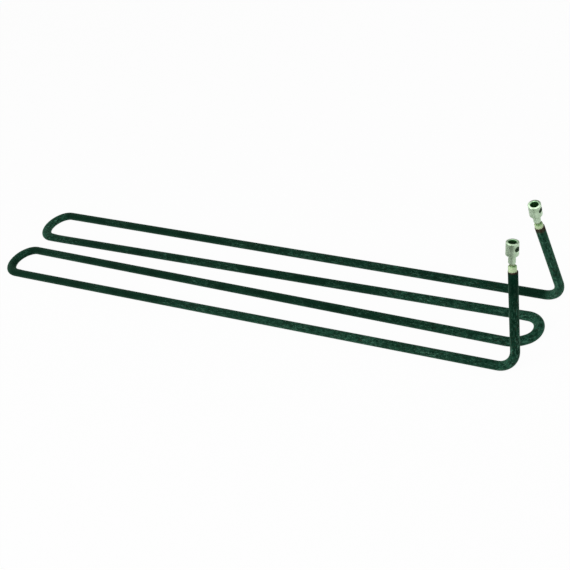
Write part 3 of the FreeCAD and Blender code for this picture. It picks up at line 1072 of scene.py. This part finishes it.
def build_world(stage):
    """Even pale surroundings, white near the floor and dimmer overhead in reflections."""
    world = bpy.data.worlds.new("studio_world")
    world.use_nodes = True
    tree = world.node_tree
    tree.nodes.clear()
    direct, mirrored = ray_kinds(tree)
    way = split(tree, add_node(tree, "ShaderNodeTexCoord").outputs["Generated"])
    overhead = between(tree, way["Z"], *HORIZON_BAND, 1.0, stage.room_level)
    wall = times(tree, between(tree, way["Y"], *WALL_SIDE_BAND, 0.0, stage.rear_wall),
                 between(tree, way["Z"], *WALL_TOP_BAND, 1.0, 0.0))
    soft_box = times(tree, between(tree, way["Y"], *BOX_SIDE_BAND, stage.soft_box, 0.0),
                     between(tree, way["Z"], *BOX_LOW_BAND))
    reflected = larger(tree, larger(tree, overhead, wall), soft_box)
    seen = mix_shaders(tree, direct, glow(tree, "ShaderNodeBackground", stage.sky_level),
                       glow(tree, "ShaderNodeBackground", 1.0))
    seen = mix_shaders(tree, mirrored, seen, glow(tree, "ShaderNodeBackground", reflected))
    tree.links.new(seen, add_node(tree, "ShaderNodeOutputWorld").inputs[0])
    bpy.context.scene.world = world


def add_soft_box(name, place, size, watts):
    """Square lamp that points at the element."""
    lamp = bpy.data.lights.new(name, "AREA")
    lamp.shape = "SQUARE"
    lamp.size = size
    lamp.energy = watts
    thing = bpy.data.objects.new(name, lamp)
    bpy.context.scene.collection.objects.link(thing)
    thing.location = place
    thing.rotation_euler = (LIT_POINT - place).to_track_quat("-Z", "Y").to_euler()


def add_camera(stage):
    """Camera at the photograph's viewing angle."""
    looked_at = Vector((stage.target_x, stage.target_y, sizes().tube_diameter / 2))
    target = row_shift(centre_line()) + looked_at
    back = Vector((math.sin(stage.azimuth) * math.cos(stage.elevation),
                   -math.cos(stage.azimuth) * math.cos(stage.elevation),
                   math.sin(stage.elevation)))
    level = level_way(stage.azimuth)
    upright = back.cross(level)
    right = level * math.cos(stage.roll) + upright * math.sin(stage.roll)
    above = upright * math.cos(stage.roll) - level * math.sin(stage.roll)
    lens = bpy.data.cameras.new("photo_camera")
    lens.sensor_width = SENSOR_WIDTH
    lens.lens = stage.lens
    lens.clip_start = CLIP_START
    lens.clip_end = CLIP_END
    camera = bpy.data.objects.new("photo_camera", lens)
    bpy.context.scene.collection.objects.link(camera)
    turn = Matrix((right, above, back)).transposed().to_4x4()
    camera.matrix_world = Matrix.Translation(target + back * stage.distance) @ turn
    bpy.context.scene.camera = camera


def add_floor(stage):
    """Square floor that is no piece of the element."""
    half = stage.floor_size / 2
    corners = [(-half, -half, 0), (half, -half, 0), (half, half, 0), (-half, half, 0)]
    mesh = bpy.data.meshes.new("studio_floor")
    mesh.from_pydata(corners, [], [(0, 1, 2, 3)])
    mesh.materials.append(floor_material(stage))
    floor = bpy.data.objects.new("studio_floor", mesh)
    bpy.context.scene.collection.objects.link(floor)


def clear_start_scene():
    """Takes away what a new file starts with."""
    kept = set(frame["nodes"].values()) | set(frame["bodies"].values())
    for thing in list(bpy.data.objects):
        if thing not in kept and thing.name in ("Cube", "Light", "Camera"):
            bpy.data.objects.remove(thing)


class HEATER_OT_stage(bpy.types.Operator):
    """Sets the pale floor, the soft light and the camera"""

    bl_idname = "heater.stage"
    bl_label = "Floor, light and camera"

    def execute(self, context):
        stage = context.scene.heater_stage
        clear_start_scene()
        add_floor(stage)
        build_world(stage)
        for name, place, size, setting in SOFT_BOXES:
            add_soft_box(name, place, size, getattr(stage, setting))
        add_camera(stage)
        context.scene.view_settings.view_transform = "Standard"
        return {"FINISHED"}


class HEATER_PT_panel(bpy.types.Panel):
    """Lists the pieces of the element and their settings"""

    bl_idname = "HEATER_PT_panel"
    bl_label = "Heating element"
    bl_space_type = "VIEW_3D"
    bl_region_type = "UI"
    bl_category = "Heating element"

    def draw(self, context):
        for operator in OPERATORS:
            self.layout.operator(operator.bl_idname)
        for group_name, _kind in PROPERTY_GROUPS:
            group = getattr(context.scene, group_name)
            box = self.layout.box()
            for name in group.bl_rna.properties.keys():
                if name not in ("rna_type", "name"):
                    box.prop(group, name)


OPERATORS = (
    HEATER_OT_stage,
    HEATER_OT_sheath,
    HEATER_OT_sockets,
    HEATER_OT_terminals,
    HEATER_OT_filling,
)
PROPERTY_GROUPS = (
    ("heater_sizes", HeaterSizes),
    ("heater_finish", HeaterFinish),
    ("heater_stage", HeaterStage),
)


def register():
    for name, group in PROPERTY_GROUPS:
        bpy.utils.register_class(group)
        setattr(bpy.types.Scene, name, PointerProperty(type=group))
    for cls in OPERATORS + (HEATER_PT_panel,):
        bpy.utils.register_class(cls)


def unregister():
    for cls in reversed(OPERATORS + (HEATER_PT_panel,)):
        bpy.utils.unregister_class(cls)
    for name, group in reversed(PROPERTY_GROUPS):
        delattr(bpy.types.Scene, name)
        bpy.utils.unregister_class(group)


def main():
    register()
    bpy.ops.heater.stage()
    bpy.ops.heater.sheath()
    bpy.ops.heater.sockets()
    bpy.ops.heater.terminals()
    bpy.ops.heater.filling()


if __name__ == "__main__":
    main()
